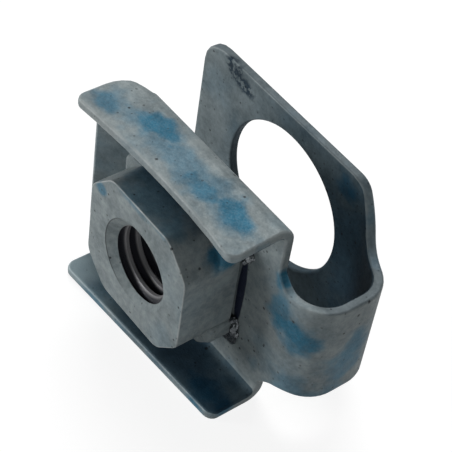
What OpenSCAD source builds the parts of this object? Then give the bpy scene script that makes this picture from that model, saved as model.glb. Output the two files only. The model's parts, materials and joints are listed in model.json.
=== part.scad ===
// Clip-on weld nut: a square nut welded to the front plate of a folded sheet-steel clip.
// The thread runs along Y, with its middle at the origin. The nut faces -Y, the clip's back leg
// is on the +Y side, the clip's mouth opens to -X and its U-bend is at +X. The bottom flange is down.

/* [Sheet] */
// Thickness of the spring-steel sheet
sheet_t = 1.2; // [0.8:0.1:1.8]
// Inside radius of the two flange folds
fold_r = 1; // [0.5:0.1:2]

/* [Front plate] */
// Height over the two flanges
plate_h = 27.5; // [24:0.5:34]
// From the thread's axis to the flanges' ends at the mouth
plate_left = 13.3; // [11:0.1:18]
// From the thread's axis to the flanges' ends at the U-bend
plate_right = 13.6; // [12:0.1:16]
// How far the flanges stand in front of the plate
flange_depth = 6.8; // [4:0.1:12]
// Radius of the flanges' front corners
flange_corner_r = 1.2; // [0.3:0.1:2.5]
// Radius of the relief that ends each fold at the mouth
relief_r = 3.2; // [1:0.1:3.9]
// How much wider than the thread the plate's hole for the bolt is
bolt_clearance = 1; // [0.5:0.1:2]

/* [Lip] */
// Width of the lip
lip_w = 16.8; // [12:0.1:20]
// From the relief's end to the lip's bend
lip_stand = 2.2; // [0.5:0.1:4]
// Angle by which the lip is bent forward
lip_angle = 37; // [10:1:60]
// Length of the lip in front of its bend
lip_flat = 4.3; // [3:0.1:8]
// Radius of the lip's corners
lip_corner_r = 1; // [0.3:0.1:2]

/* [Neck and U-bend] */
// Width of the neck and the U-bend
neck_w = 13.8; // [10:0.1:16]
// How far the middle of the neck and the lip lies below the thread's axis
strip_drop = 1.45; // [-2:0.05:2]
// Radius of the inside corners between the plate and the neck
neck_fillet_r = 2; // [0.5:0.1:3]
// From the inside corners to where the neck starts to bend
neck_flat = 0.1; // [0.1:0.1:3]
// Gap between the front plate and the back leg
slot_gap = 10.9; // [9.8:0.1:13]
// Inside radius of the front bend
front_bend_r = 3.3; // [2.4:0.1:4.2]
// Length of the flat between the front bend and the wider back bend
bend_flat = 0.4; // [0.2:0.1:2]

/* [Back leg] */
// Height of the back leg
back_h = 23.8; // [22:0.1:28]
// From the thread's axis to the back leg's end at the mouth
back_left = 16; // [13:0.1:20]
// Radius of the back leg's corners at the mouth
back_corner_r = 3.9; // [1:0.1:6]
// Radius of the back leg's corners at the U-bend
shoulder_r = 2; // [0.5:0.1:3]
// From where the back leg has narrowed to the neck's width to the outermost point of the U-bend
taper_end = 3.1; // [2:0.1:5]
// Diameter of the back leg's clearance hole
back_hole_d = 18.3; // [12:0.1:19]

/* [Nut] */
// Width of the nut across its flats
nut_w = 17; // [16:0.5:19]
// Width of the nut across its cut corners
nut_corner_w = 19.2; // [18:0.1:22]
// Height of the nut without its projections
nut_h = 7.5; // [6:0.1:10]
// How far the feet that the corners keep next to the plate stand out past the cut corners
foot_out = 1.4; // [0.5:0.1:2]
// Height of the feet
foot_h = 3.2; // [1:0.1:5]
// Nominal diameter of the thread
thread_d = 10; // [8:0.5:10]
// Pitch of the thread
thread_pitch = 1.5; // [1:0.25:1.5]
// How much wider than the thread the countersinks are at the nut's faces
countersink_extra = 0.8; // [0.2:0.1:1.6]
// Angle of the countersinks from wall to wall
countersink_angle = 120; // [80:5:130]
// Diameter of a weld projection on the nut's seat
weld_d = 3.2; // [2:0.1:3.6]
// Height of a weld projection after welding
weld_h = 0.35; // [0.2:0.05:1]
// From a weld projection's edge to the end of its foot
weld_inset = 0.3; // [0.1:0.1:1]

/* [Hidden] */
$fn = 96;
// Overrun of a cut past the surface that it opens
over = 1;
// Depth of an ISO thread profile for one unit of pitch, measured on the diameter
thread_depth_share = 1.0825;

// The front plate's front face, where the nut is welded
seat_y = nut_h / 2 + weld_h;
plate_hole_d = thread_d + bolt_clearance;
fold_outer_r = fold_r + sheet_t;
relief_x = -plate_left + relief_r;
lip_x = relief_x - lip_stand;
lip_top = lip_w / 2 - strip_drop;
lip_bottom = -lip_w / 2 - strip_drop;
neck_top = neck_w / 2 - strip_drop;
neck_bottom = -neck_w / 2 - strip_drop;
// The U-bend in X and Y, measured from the plate's front face
bend_x = plate_right + neck_fillet_r + neck_flat;
front_outer_r = front_bend_r + sheet_t;
back_bend_r = slot_gap - front_bend_r - bend_flat;
back_outer_r = back_bend_r + sheet_t;
bend_reach = bend_x + front_outer_r;
split_y = front_outer_r + bend_flat / 2;
back_inner_y = sheet_t + slot_gap;
back_centre = [bend_reach - back_outer_r, front_outer_r + bend_flat];
taper_x = bend_reach - taper_end;
bore_r = (thread_d - thread_depth_share * thread_pitch) / 2;
sink_r = (thread_d + countersink_extra) / 2;
sink_slope = tan(countersink_angle / 2);
foot_corner_w = nut_corner_w + 2 * foot_out;
weld_spread = (foot_corner_w / 2 - weld_inset - weld_d / 2) * cos(45);

// Turns an outline drawn in X and Z into a plate from y0 to y1
module along_y(y0, y1)
    translate([0, y1, 0])
        rotate([90, 0, 0])
            linear_extrude(y1 - y0)
                children();

// Turns an outline drawn in Y and Z into a bar from x0 to x1
module along_x(x0, x1)
    translate([x0, 0, 0])
        rotate([90, 0, 90])
            linear_extrude(x1 - x0)
                children();

// Turns an outline drawn in X and Y into a block from z0 to z1
module along_z(z0, z1)
    translate([0, 0, z0])
        linear_extrude(z1 - z0)
            children();

// What a rounded corner takes away: the corner is at the origin and points towards +X, +Y
module corner_waste(r)
    difference() {
        translate([-r, -r])
            square(r + over);
        translate([-r, -r])
            circle(r);
    }

// A quarter of a ring in the quadrant of +X, +Y
module quarter_ring(inner_r, outer_r)
    intersection() {
        difference() {
            circle(outer_r);
            circle(inner_r);
        }
        square(outer_r);
    }

// A bar's section that reaches from y0 to y1, with both edges at y1 rounded
module round_backed(y0, y1, height, r) {
    translate([y0, -height / 2])
        square([y1 - y0 - r, height]);
    translate([y0, -height / 2 + r])
        square([y1 - y0, height - 2 * r]);
    for (side = [-1, 1])
        translate([y1 - r, side * (height / 2 - r)])
            circle(r);
}

// Front plate and both flanges: a folded channel, relieved at the mouth
module channel()
    difference() {
        along_x(-plate_left, plate_right)
            difference() {
                round_backed(-flange_depth, sheet_t, plate_h, fold_outer_r);
                round_backed(-flange_depth - over, 0, plate_h - 2 * sheet_t, fold_r);
            }
        along_z(-plate_h, plate_h) {
            translate([-plate_left, -flange_depth])
                rotate(180)
                    corner_waste(flange_corner_r);
            translate([plate_right, -flange_depth])
                rotate(-90)
                    corner_waste(flange_corner_r);
            fold_relief();
        }
    }

// The relief rounds each flange's corner next to the fold and cuts the fold short
module fold_relief()
    difference() {
        translate([-plate_left - over, -relief_r])
            square([relief_r + over, relief_r + sheet_t + over]);
        translate([-plate_left + relief_r, -relief_r])
            circle(relief_r);
    }

// The lip's section in X and Y, from the front plate's middle to past the lip's end
module lip_section() {
    past = lip_flat + over;
    along = [-cos(lip_angle), -sin(lip_angle)];
    across = [-sin(lip_angle), cos(lip_angle)];
    polygon([
        [0, 0],
        [lip_x, 0],
        [lip_x, 0] + past * along,
        [lip_x, 0] + past * along + sheet_t * across,
        [lip_x - sheet_t * tan(lip_angle / 2), sheet_t],
        [0, sheet_t]
    ]);
}

// The lip's outline with its rounded corners, in X and Z, measured from its bend
module lip_outline()
    difference() {
        translate([-lip_flat, lip_bottom])
            square([lip_flat + plate_left, lip_w]);
        translate([-lip_flat, lip_top])
            rotate(90)
                corner_waste(lip_corner_r);
        translate([-lip_flat, lip_bottom])
            rotate(180)
                corner_waste(lip_corner_r);
    }

// Lead-in lip, which leaves the front plate at the mouth and is bent forward
module lip()
    intersection() {
        along_z(-plate_h / 2, plate_h / 2)
            lip_section();
        translate([lip_x, 0, 0])
            rotate([0, 0, lip_angle])
                along_y(-plate_left, plate_left)
                    lip_outline();
    }

// The neck, from the front plate to the middle of the U-bend
module neck()
    along_z(neck_bottom, neck_top) {
        square([bend_x, sheet_t]);
        translate([bend_x, front_outer_r])
            rotate(-90)
                quarter_ring(front_bend_r, front_outer_r);
        translate([bend_reach - sheet_t, front_outer_r])
            square([sheet_t, bend_flat / 2]);
    }

// What fills an inside corner that lies at the origin and opens towards +X, +Y
module corner_fill(r)
    difference() {
        square(r);
        translate([r, r])
            circle(r);
    }

// Inside corners between the front plate's end and the neck
module neck_fillets()
    along_y(0, sheet_t) {
        translate([plate_right, neck_top])
            corner_fill(neck_fillet_r);
        translate([plate_right, neck_bottom])
            rotate(-90)
                corner_fill(neck_fillet_r);
    }

// What is cut away above the neck where the back leg narrows: a hollow that runs into a rounded shoulder
module taper_waste(neck_edge) {
    turn_z = back_h / 2 - shoulder_r;
    hollow_r = turn_z - neck_edge;
    turn_x = taper_x - hollow_r;
    translate([taper_x, turn_z])
        circle(hollow_r);
    translate([taper_x, neck_edge])
        square(back_h);
    translate([turn_x, turn_z])
        square(back_h);
    translate([turn_x, back_h / 2])
        corner_waste(shoulder_r);
}

// The second half of the U-bend and the back leg, in X and Y
module back_profile() {
    translate([bend_reach - sheet_t, split_y])
        square([sheet_t, bend_flat / 2]);
    translate(back_centre)
        quarter_ring(back_bend_r, back_outer_r);
    translate([-back_left, back_inner_y])
        square([back_left + back_centre.x, sheet_t]);
}

// Back leg, as high as it is at the mouth, narrowed to the neck and rounded at the mouth
module back_leg()
    difference() {
        along_z(-back_h / 2, back_h / 2)
            back_profile();
        along_y(split_y - over, back_inner_y + sheet_t + over) {
            taper_waste(neck_top);
            mirror([0, 1])
                taper_waste(-neck_bottom);
        }
        along_y(back_inner_y - over, back_inner_y + sheet_t + over) {
            translate([-back_left, back_h / 2])
                rotate(90)
                    corner_waste(back_corner_r);
            translate([-back_left, -back_h / 2])
                rotate(180)
                    corner_waste(back_corner_r);
        }
    }

// A round hole along the thread's axis
module hole(d, y0, y1)
    along_y(y0 - over, y1 + over)
        circle(d / 2);

// Folded sheet clip, in one piece
module clip()
    color([0.56, 0.60, 0.62])
        translate([0, seat_y, 0])
            difference() {
                union() {
                    channel();
                    lip();
                    neck();
                    neck_fillets();
                    back_leg();
                }
                hole(plate_hole_d, 0, sheet_t);
                hole(back_hole_d, back_inner_y - slot_gap / 2, back_inner_y + sheet_t);
            }

// The nut's square outline, with its corners cut to this width
module cut_square(corner_w)
    intersection() {
        square(nut_w, center = true);
        rotate(45)
            square(corner_w, center = true);
    }

// What a countersink takes away at the nut's face, with the cone's axis along +Z from inside the bore
module countersink() {
    depth = (sink_r - bore_r) / sink_slope;
    translate([0, 0, nut_h / 2 - depth])
        cylinder(h = depth + over, r1 = bore_r, r2 = sink_r + over * sink_slope);
}

// Square nut with cut corners on four feet, its bore at the thread's minor diameter, and its weld projections
module weld_nut()
    color([0.60, 0.63, 0.65])
        difference() {
            union() {
                along_y(-nut_h / 2, nut_h / 2)
                    cut_square(nut_corner_w);
                along_y(nut_h / 2 - foot_h, nut_h / 2)
                    cut_square(foot_corner_w);
                along_y(nut_h / 2, seat_y)
                    for (x = [-1, 1], z = [-1, 1])
                        translate(weld_spread * [x, z])
                            circle(weld_d / 2);
            }
            hole(2 * bore_r, -nut_h / 2, nut_h / 2);
            for (end = [-1, 1])
                rotate([90 * end, 0, 0])
                    countersink();
        }

clip();
weld_nut();
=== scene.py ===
# %% [markdown]
# # A nut on a clip
# The object is a square nut that is welded to a clip of folded sheet steel. The clip slides over the edge of
# a panel, and a bolt is screwed into the nut from the other side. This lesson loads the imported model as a
# fixed frame, models the clip, the nut and its welds again with soft edges and a real thread, and gives them
# a dull zinc coating with blue stains.

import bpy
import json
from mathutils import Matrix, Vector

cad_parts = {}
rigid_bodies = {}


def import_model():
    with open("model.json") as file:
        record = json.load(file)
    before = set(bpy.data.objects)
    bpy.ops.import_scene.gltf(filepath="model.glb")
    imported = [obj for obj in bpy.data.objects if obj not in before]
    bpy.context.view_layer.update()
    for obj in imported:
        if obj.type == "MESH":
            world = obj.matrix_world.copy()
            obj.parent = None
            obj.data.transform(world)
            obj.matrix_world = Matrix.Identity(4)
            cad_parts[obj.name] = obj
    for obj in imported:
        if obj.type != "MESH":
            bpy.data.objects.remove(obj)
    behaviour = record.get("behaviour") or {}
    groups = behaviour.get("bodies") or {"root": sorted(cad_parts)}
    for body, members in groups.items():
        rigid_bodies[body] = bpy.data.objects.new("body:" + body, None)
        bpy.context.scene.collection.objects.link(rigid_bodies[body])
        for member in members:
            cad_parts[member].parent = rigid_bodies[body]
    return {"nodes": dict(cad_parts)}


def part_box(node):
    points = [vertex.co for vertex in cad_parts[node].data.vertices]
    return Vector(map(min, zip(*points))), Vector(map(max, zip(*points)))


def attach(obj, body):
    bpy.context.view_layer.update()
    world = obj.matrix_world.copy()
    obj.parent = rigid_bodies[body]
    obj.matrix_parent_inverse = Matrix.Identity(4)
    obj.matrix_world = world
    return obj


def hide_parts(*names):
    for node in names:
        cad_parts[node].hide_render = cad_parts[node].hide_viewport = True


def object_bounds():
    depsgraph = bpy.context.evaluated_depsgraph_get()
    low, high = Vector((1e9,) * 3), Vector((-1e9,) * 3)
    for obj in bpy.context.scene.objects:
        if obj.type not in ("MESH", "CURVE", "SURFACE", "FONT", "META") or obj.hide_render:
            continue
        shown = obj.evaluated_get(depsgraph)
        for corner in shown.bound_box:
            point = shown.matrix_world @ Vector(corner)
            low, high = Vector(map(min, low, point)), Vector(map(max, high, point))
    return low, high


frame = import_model()
cad_lo, cad_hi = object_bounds()
print("frame:", sorted(frame["nodes"]), "box", [round(v * 1000, 2) for v in (*cad_lo, *cad_hi)], "mm")

# %% [markdown]
# ## Working in millimetres
# The scene is in metres, but a small sheet-metal part is easier to follow in millimetres. So each piece is
# modelled a thousand times too large and shrunk into place when it is finished. The places that other pieces
# depend on are read from the frame: the plate that the nut sits on, the reach of the bends and the height.
# Short helpers stand for what is done by hand again and again: selecting a piece, entering edit mode, picking
# edges, applying a modifier and cutting one shape out of another.

# %% Measures from the frame
import json
import math
import bmesh
import bpy
from mathutils import Matrix, Vector

MM = 0.001
NEAR = 0.01
clip_lo, clip_hi = (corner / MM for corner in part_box("clip"))
nut_lo, nut_hi = (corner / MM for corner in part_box("weld_nut"))
SHEET = 1.2
HALF = SHEET / 2
SEAT = nut_hi.y
PLATE_MIDDLE = SEAT + HALF
print("plate at y", round(SEAT, 2), "clip reaches x", round(clip_hi.x, 2), "and y", round(clip_hi.y, 2))

# %% Helpers for modelling by hand


def clear_selection():
    """Leaves edit mode with nothing selected, ready for a new primitive."""
    if bpy.context.mode != "OBJECT":
        bpy.ops.object.mode_set(mode="OBJECT")
    bpy.ops.object.select_all(action="DESELECT")


def alone(piece):
    """Leaves edit mode and makes this piece the only selected one."""
    clear_selection()
    piece.select_set(True)
    bpy.context.view_layer.objects.active = piece


def edit(piece, action="DESELECT"):
    """Enters edit mode on this piece with nothing selected, or with all of it for SELECT."""
    alone(piece)
    bpy.ops.object.mode_set(mode="EDIT")
    bpy.ops.mesh.select_all(action=action)


def named(name, size=(1, 1, 1)):
    """Names the primitive that was just added, brings it to size and puts its place into its mesh."""
    piece = bpy.context.object
    piece.name = name
    piece.data.name = name
    piece.scale = size
    bpy.ops.object.transform_apply(location=True, rotation=True, scale=True)
    return piece


def pick_edges(piece, test):
    """In edit mode, selects the edges whose two ends pass the test."""
    bpy.ops.mesh.select_mode(type="EDGE")
    mesh = bmesh.from_edit_mesh(piece.data)
    for edge in mesh.edges:
        if test(edge.verts[0].co, edge.verts[1].co):
            edge.select_set(True)
    bmesh.update_edit_mesh(piece.data)


def apply_modifier(piece, kind, **values):
    """Adds a modifier with these values and applies it."""
    alone(piece)
    modifier = piece.modifiers.new(kind.lower(), kind)
    for name, value in values.items():
        setattr(modifier, name, value)
    bpy.ops.object.modifier_apply(modifier=modifier.name)


def cut(piece, cutter):
    """Takes the cutter's shape out of the piece and deletes the cutter."""
    apply_modifier(piece, "BOOLEAN", operation="DIFFERENCE", solver="EXACT", object=cutter)
    bpy.data.objects.remove(cutter)


def triangles(piece):
    piece.data.calc_loop_triangles()
    return len(piece.data.loop_triangles)


print("helpers ready")

# %% [markdown]
# ## The clip's front plate
# The real clip is one strip of steel, so it is modelled as one open surface through the middle of the sheet,
# which gets its thickness at the end. The start is a grid for the middle of the front plate. Its upper and
# lower edges are as high as the lip and the neck are where they leave the plate, so that later steps can
# extrude those edges directly.

# %% Middle of the front plate
PLATE_LEFT = -10.1
PLATE_RIGHT = 13.6
TAB_TOP = 6.95
TAB_BOTTOM = -10.6
COLUMNS = 7

clear_selection()
bpy.ops.mesh.primitive_grid_add(
    x_subdivisions=COLUMNS, y_subdivisions=1, size=1, rotation=(math.pi / 2, 0, 0),
    location=((PLATE_LEFT + PLATE_RIGHT) / 2, PLATE_MIDDLE, (TAB_TOP + TAB_BOTTOM) / 2))
clip = named("clip_sheet", (PLATE_RIGHT - PLATE_LEFT, TAB_TOP - TAB_BOTTOM, 1))
print("plate grid:", len(clip.data.vertices), "points")

# %% [markdown]
# ## The two flanges
# The flanges are folded forward along the plate's long edges. Each fold is a quarter circle. An edge is
# extruded row by row: up the plate, round the fold and along the flange. Each new row is stretched to the
# width that the sheet has there. That gives the rounded front corners, and the round relief at the mouth,
# where the flange reaches further left than the plate does.

# %% Rows of the flanges
FOLD_INNER = 1.0
FOLD_MIDDLE = FOLD_INNER + HALF
FOLD_OUTER = FOLD_INNER + SHEET
FOLD_Y = SEAT - FOLD_INNER
FOLD_Z = clip_hi.z - FOLD_OUTER
FLANGE_LEFT = -13.3
FLANGE_FRONT = clip_lo.y
RELIEF_R = PLATE_LEFT - FLANGE_LEFT
CORNER_R = 1.2
FLAT_ROW = 0.7
FOLD_STEPS = 8
CORNER_STEPS = 5


def flange_left(y):
    """The flange's left end in plan: straight, then a round relief up to the plate's front face."""
    beyond = y - (SEAT - RELIEF_R)
    if beyond <= 0:
        return FLANGE_LEFT
    return PLATE_LEFT - math.sqrt(max(RELIEF_R ** 2 - beyond ** 2, 0))


def flange_rows():
    """Height above the middle, depth, left end and right end of each row, from the plate outwards."""
    rows = [(FOLD_Z, PLATE_MIDDLE, PLATE_LEFT, PLATE_RIGHT)]
    for step in range(1, FOLD_STEPS + 1):
        turn = math.pi / 2 * step / FOLD_STEPS
        outer_y = min(FOLD_Y + FOLD_OUTER * math.cos(turn), SEAT)
        rows.append((FOLD_Z + FOLD_MIDDLE * math.sin(turn), FOLD_Y + FOLD_MIDDLE * math.cos(turn),
                     flange_left(outer_y), PLATE_RIGHT))
    flat = FOLD_Z + FOLD_MIDDLE
    relief_start = SEAT - RELIEF_R
    for y in (FOLD_Y - FLAT_ROW, FOLD_Y - 2 * FLAT_ROW, relief_start, (relief_start + FLANGE_FRONT) / 2,
              FLANGE_FRONT):
        rows.append((flat, y, flange_left(y), PLATE_RIGHT))
    return rows


def add_row(before, after):
    """Extrudes the selected row: a row is its place across the sheet's path and its two ends along axis."""
    axis, old_path, old_low, old_high = before
    axis, new_path, new_low, new_high = after
    stretch = (new_high - new_low) / (old_high - old_low)
    move = Vector(new_path) - Vector(old_path)
    move[axis] = new_low - stretch * old_low
    scale = [1.0, 1.0, 1.0]
    scale[axis] = stretch
    bpy.ops.mesh.extrude_region_move()
    bpy.ops.transform.resize(value=scale, center_override=(0, 0, 0))
    bpy.ops.transform.translate(value=move)


def add_flange(side, edge_z):
    """Grows one flange from the plate's edge. side is 1 for the upper and -1 for the lower."""
    edit(clip)
    pick_edges(clip, lambda a, b: abs(a.z - edge_z) < NEAR and abs(b.z - edge_z) < NEAR)
    before = (0, (0, PLATE_MIDDLE, edge_z), PLATE_LEFT, PLATE_RIGHT)
    for height, y, left, right in flange_rows():
        after = (0, (0, y, side * height), left, right)
        add_row(before, after)
        before = after
    round_corners(clip, CORNER_R, lambda co: abs(co.y - FLANGE_FRONT) < NEAR and side * co.z > 0
                  and min(abs(co.x - FLANGE_LEFT), abs(co.x - PLATE_RIGHT)) < NEAR)


def round_corners(piece, radius, test):
    """Rounds the corners of the sheet's outline that pass the test."""
    edit(piece)
    bpy.ops.mesh.select_mode(type="VERT")
    mesh = bmesh.from_edit_mesh(piece.data)
    for vert in mesh.verts:
        if test(vert.co):
            vert.select_set(True)
    bmesh.update_edit_mesh(piece.data)
    bpy.ops.mesh.bevel(offset=radius, segments=CORNER_STEPS, affect="VERTICES")
    clear_selection()


add_flange(1, TAB_TOP)
add_flange(-1, TAB_BOTTOM)
print("plate and flanges:", len(clip.data.polygons), "faces")

# %% [markdown]
# ## The neck, the U-bend and the back leg
# On the right the sheet narrows to a neck, turns back in a U and widens again to the back leg. This is the
# same kind of row-by-row extrusion, now of the plate's right edge, with the rows stretched up and down. The
# bends are arcs. The U isn't a plain half circle on the real clip: after the second arc the sheet runs
# slanted to the back leg. The upper and lower ends of each row follow the outline that was cut before
# bending: a small fillet at the neck, a long hollow and a shoulder to the back leg, and its round corners.

# %% Path of the strip and its outline
NECK_TOP = 5.45
NECK_BOTTOM = -8.35
NECK_EASE_TOP = 2.0
NECK_EASE_BOTTOM = 4.2
FRONT_BEND = (15.7, SEAT + 4.5)
FRONT_BEND_R = 3.9
BACK_BEND = (15.8, SEAT + 6.9)
BACK_BEND_R = 3.8
SLANT = math.radians(27)
BACK_MIDDLE = clip_hi.y - HALF
LAST_BEND_R = 5.6
LAST_BEND = (11.4, BACK_MIDDLE - LAST_BEND_R)
BACK_HALF_HEIGHT = 11.9
BACK_LEFT = -16.0
BACK_CORNER_R = 3.2
# corner where back leg and slope would meet, the slope's angle, and the radii of shoulder and hollow
SLOPE_TOP = (11.2, math.radians(58), 2.4, 3.0)
SLOPE_BOTTOM = (14.0, math.radians(60), 2.0, 5.0)
FLAT_STEPS = 8
FRONT_STEPS = 12
TURN_STEPS = 8
BETWEEN_BENDS = 1.2
LEG_ROWS = (11.1, 10.8, 10.5, 10.1, 9.7)


def taper(x, neck, slope):
    """How far the strip's edge is from the middle: back leg, shoulder, slope, hollow and neck."""
    corner_x, angle, shoulder_r, hollow_r = slope
    low_x = corner_x + (BACK_HALF_HEIGHT - neck) / math.tan(angle)
    shoulder_x = corner_x - shoulder_r * math.tan(angle / 2)
    hollow_x = low_x + hollow_r * math.tan(angle / 2)
    if x <= shoulder_x:
        return BACK_HALF_HEIGHT
    if x >= hollow_x:
        return neck
    if x <= shoulder_x + shoulder_r * math.sin(angle):
        return BACK_HALF_HEIGHT - shoulder_r + math.sqrt(shoulder_r ** 2 - (x - shoulder_x) ** 2)
    if x >= hollow_x - hollow_r * math.sin(angle):
        return neck + hollow_r - math.sqrt(hollow_r ** 2 - (hollow_x - x) ** 2)
    return BACK_HALF_HEIGHT - (x - corner_x) * math.tan(angle)


def ease(run, height, length):
    """How much further out the edge still is at this run from the plate, where it eases into the neck."""
    return height * max(1 - run / length, 0) ** 2


def neck_row(x, y, run):
    """One row of the neck at this run from the plate."""
    return ((x, y, 0), NECK_BOTTOM - ease(run, NECK_BOTTOM - TAB_BOTTOM, NECK_EASE_BOTTOM),
            NECK_TOP + ease(run, TAB_TOP - NECK_TOP, NECK_EASE_TOP))


def arc(centre, radius, start, end, steps):
    """Points on an arc in plan with the outward direction at each, without the first point."""
    for step in range(1, steps + 1):
        turn = start + (end - start) * step / steps
        out = (math.cos(turn), math.sin(turn))
        yield centre[0] + radius * out[0], centre[1] + radius * out[1], out[0]


def strip_rows():
    """Path point, lower end and upper end of each row from the neck to the end of the back leg."""
    quarter = math.pi / 2
    flat = FRONT_BEND[0] - PLATE_RIGHT
    rows = []
    for step in range(1, FLAT_STEPS):
        run = flat * step / FLAT_STEPS
        rows.append(neck_row(PLATE_RIGHT + run, PLATE_MIDDLE, run))
    rows.append(neck_row(FRONT_BEND[0], PLATE_MIDDLE, flat))
    for step, (x, y, out) in enumerate(arc(FRONT_BEND, FRONT_BEND_R, -quarter, 0, FRONT_STEPS), 1):
        rows.append(neck_row(x, y, flat + FRONT_BEND_R * quarter * step / FRONT_STEPS))
    rows.append(((FRONT_BEND[0] + FRONT_BEND_R, BACK_BEND[1] - BETWEEN_BENDS, 0), NECK_BOTTOM, NECK_TOP))
    turned = [(BACK_BEND[0] + BACK_BEND_R, BACK_BEND[1], 1.0)]
    turned += arc(BACK_BEND, BACK_BEND_R, 0, quarter - SLANT, TURN_STEPS)
    slant_from = turned[-1]
    last = list(arc(LAST_BEND, LAST_BEND_R, quarter - SLANT - 0.001, quarter, TURN_STEPS))
    slant_to = last[0]
    for step in range(1, TURN_STEPS + 1):
        share = step / (TURN_STEPS + 1)
        turned.append(tuple(a + (b - a) * share for a, b in zip(slant_from, slant_to)))
    turned += last
    for x in LEG_ROWS:
        turned.append((x, BACK_MIDDLE, 0.0))
    for x, y, out in turned:
        edge_x = x + HALF * out
        low = -taper(edge_x, -NECK_BOTTOM, SLOPE_BOTTOM)
        rows.append(((x, y, 0), low, taper(edge_x, NECK_TOP, SLOPE_TOP)))
    rows.append(((BACK_LEFT, BACK_MIDDLE, 0), -BACK_HALF_HEIGHT, BACK_HALF_HEIGHT))
    return rows


print("strip:", len(strip_rows()), "rows")

# %% Extrude the strip
edit(clip)
pick_edges(clip, lambda a, b: abs(a.x - PLATE_RIGHT) < NEAR and abs(b.x - PLATE_RIGHT) < NEAR
           and {round(a.z, 2), round(b.z, 2)} == {TAB_BOTTOM, TAB_TOP})
before = (2, (PLATE_RIGHT, PLATE_MIDDLE, 0), TAB_BOTTOM, TAB_TOP)
for path, low, high in strip_rows():
    after = (2, path, low, high)
    add_row(before, after)
    before = after
round_corners(clip, BACK_CORNER_R, lambda co: abs(co.x - BACK_LEFT) < NEAR and co.y > PLATE_MIDDLE + 1)
print("with neck, bend and back leg:", len(clip.data.polygons), "faces")

# %% [markdown]
# ## The lead-in lip
# At the mouth the plate ends in a lip that is bent forward, so that the clip slides onto a panel without
# catching. It is extruded from the plate's left edge in the same way, with a small bend and rounded corners.

# %% Extrude the lip
LIP_BEND_X = -11.8
LIP_BEND_R = 1.5 + HALF
LIP_ANGLE = math.radians(37)
LIP_FLAT = 3.8
LIP_BOTTOM = -9.85
LIP_EASE = 1.0
LIP_CORNER_R = 1.0
LIP_STEPS = 4


def lip_rows():
    """Place in plan and lower end of each row of the lip, from the plate outwards."""
    rows = []
    for step in range(1, LIP_STEPS + 1):
        run = LIP_EASE * step / LIP_STEPS
        low = LIP_BOTTOM - ease(run, LIP_BOTTOM - TAB_BOTTOM, LIP_EASE)
        rows.append((PLATE_LEFT - run, PLATE_MIDDLE, low))
    for step in range(0, LIP_STEPS + 1):
        turn = LIP_ANGLE * step / LIP_STEPS
        rows.append((LIP_BEND_X - LIP_BEND_R * math.sin(turn),
                     PLATE_MIDDLE - LIP_BEND_R * (1 - math.cos(turn)), LIP_BOTTOM))
    bend_x, bend_y, low = rows[-1]
    rows.append((bend_x - LIP_FLAT * math.cos(LIP_ANGLE), bend_y - LIP_FLAT * math.sin(LIP_ANGLE), low))
    return rows


edit(clip)
pick_edges(clip, lambda a, b: abs(a.x - PLATE_LEFT) < NEAR and abs(b.x - PLATE_LEFT) < NEAR
           and {round(a.z, 2), round(b.z, 2)} == {TAB_BOTTOM, TAB_TOP})
before = (2, (PLATE_LEFT, PLATE_MIDDLE, 0), TAB_BOTTOM, TAB_TOP)
for x, y, low in lip_rows():
    after = (2, (x, y, 0), low, TAB_TOP)
    add_row(before, after)
    before = after
lip_end = x
round_corners(clip, LIP_CORNER_R, lambda co: abs(co.x - lip_end) < NEAR and co.y < PLATE_MIDDLE)
print("with lip:", len(clip.data.polygons), "faces")

# %% [markdown]
# ## Small faults of the press
# A cheap pressing is never quite true. The upper flange's front edge is bowed and its right corner droops a
# little, and the lower flange is deeper at the mouth. The points of the flanges are moved by amounts that
# grow from nothing at the fold to the whole fault at the front edge.

# %% Bow and droop the flanges
FLANGE_DEPTH = FOLD_Y - FLANGE_FRONT
BOW_MIDDLE = 2
BOW_DEPTH = 0.2
BOW_CURVE = 0.004
DROOP = 0.4
DROOP_FROM, DROOP_RUN = 5, 8.6
LOWER_SKEW = 0.055
LOWER_MIDDLE = 0.5


def press_fault(co):
    """The move of one point of the sheet, in millimetres."""
    share = min(max((FOLD_Y - co.y) / FLANGE_DEPTH, 0), 1)
    if share == 0 or abs(co.z) < FOLD_Z:
        return Vector((0, 0, 0))
    if co.z > 0:
        bow = BOW_DEPTH - BOW_CURVE * (co.x - BOW_MIDDLE) ** 2
        droop = DROOP * min(max((co.x - DROOP_FROM) / DROOP_RUN, 0), 1) ** 2
        return share * Vector((0, bow, -droop))
    return share * Vector((0, LOWER_SKEW * (co.x - LOWER_MIDDLE), 0))


edit(clip)
mesh = bmesh.from_edit_mesh(clip.data)
for vert in mesh.verts:
    vert.co += press_fault(vert.co)
bmesh.update_edit_mesh(clip.data)
clear_selection()
print("flange front now from y", round(min(vert.co.y for vert in clip.data.vertices), 2))

# %% [markdown]
# ## Thickness, holes and sheared edges
# Solidify gives the sheet its 1.2 mm, half to each side. The two holes are cut with cylinders, as a punch
# would. Last, every sheared edge is rounded with a bevel, because tumbling and plating leave no sharp edge.
# The bevelled faces are marked, so that the material can show the coating rubbed thin there.

# %% Thicken and punch the sheet
BACK_HOLE_R = 9.15
PLATE_HOLE_R = 5.5
ROUND_STEPS = 96

edit(clip, "SELECT")
bpy.ops.mesh.remove_doubles(threshold=0.001)
bpy.ops.mesh.normals_make_consistent(inside=False)
clear_selection()
apply_modifier(clip, "SOLIDIFY", thickness=SHEET, offset=0, use_even_offset=True)
edit(clip, "SELECT")
bpy.ops.mesh.normals_make_consistent(inside=False)
clear_selection()


def punch(radius, y):
    """A punch along Y whose middle is at this depth."""
    clear_selection()
    bpy.ops.mesh.primitive_cylinder_add(
        vertices=ROUND_STEPS, radius=radius, depth=4 * SHEET, rotation=(math.pi / 2, 0, 0),
        location=(0, y, 0))
    return named("punch")


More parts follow.
